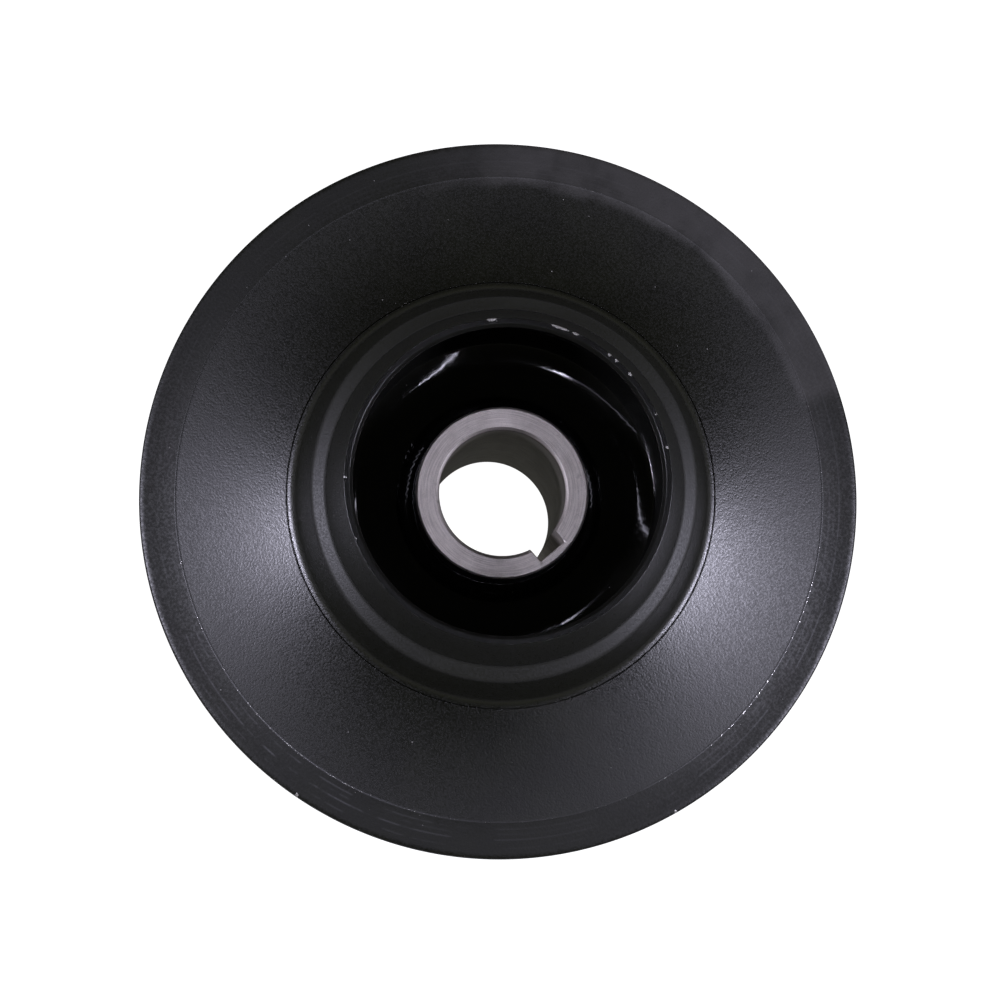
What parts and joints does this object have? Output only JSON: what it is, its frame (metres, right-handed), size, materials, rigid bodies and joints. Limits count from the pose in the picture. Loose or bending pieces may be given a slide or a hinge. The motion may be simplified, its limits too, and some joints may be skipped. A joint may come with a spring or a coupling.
{
  "type": "flywheel",
  "caption": "Shallow conical steel flywheel disc on a stepped, open neck, welded round a long hub tube with a keyed shaft bore.",
  "frame": {"origin": "centre of the hub tube's rear end, on the bore's axis", "axes": "+Z along the bore, towards the neck's open lip; +X through the middle of the keyway"},
  "size_m": [0.146, 0.146, 0.0875],
  "materials": {
    "machined_steel": "turned",
    "gloss_coat": "gloss",
    "satin_coat": "satin",
    "weld_coat": "satin over weld ripple"
  },
  "bodies": {
    "root": {"hub_tube": "machined_steel", "hub_cup": "gloss_coat", "neck_collar": "satin_coat", "flange_disc": "satin_coat", "front_hub_weld": "weld_coat", "rear_hub_weld": "weld_coat", "disc_seam_weld": "weld_coat", "collar_stitch_welds": "weld_coat"}
  },
  "joints": []
}
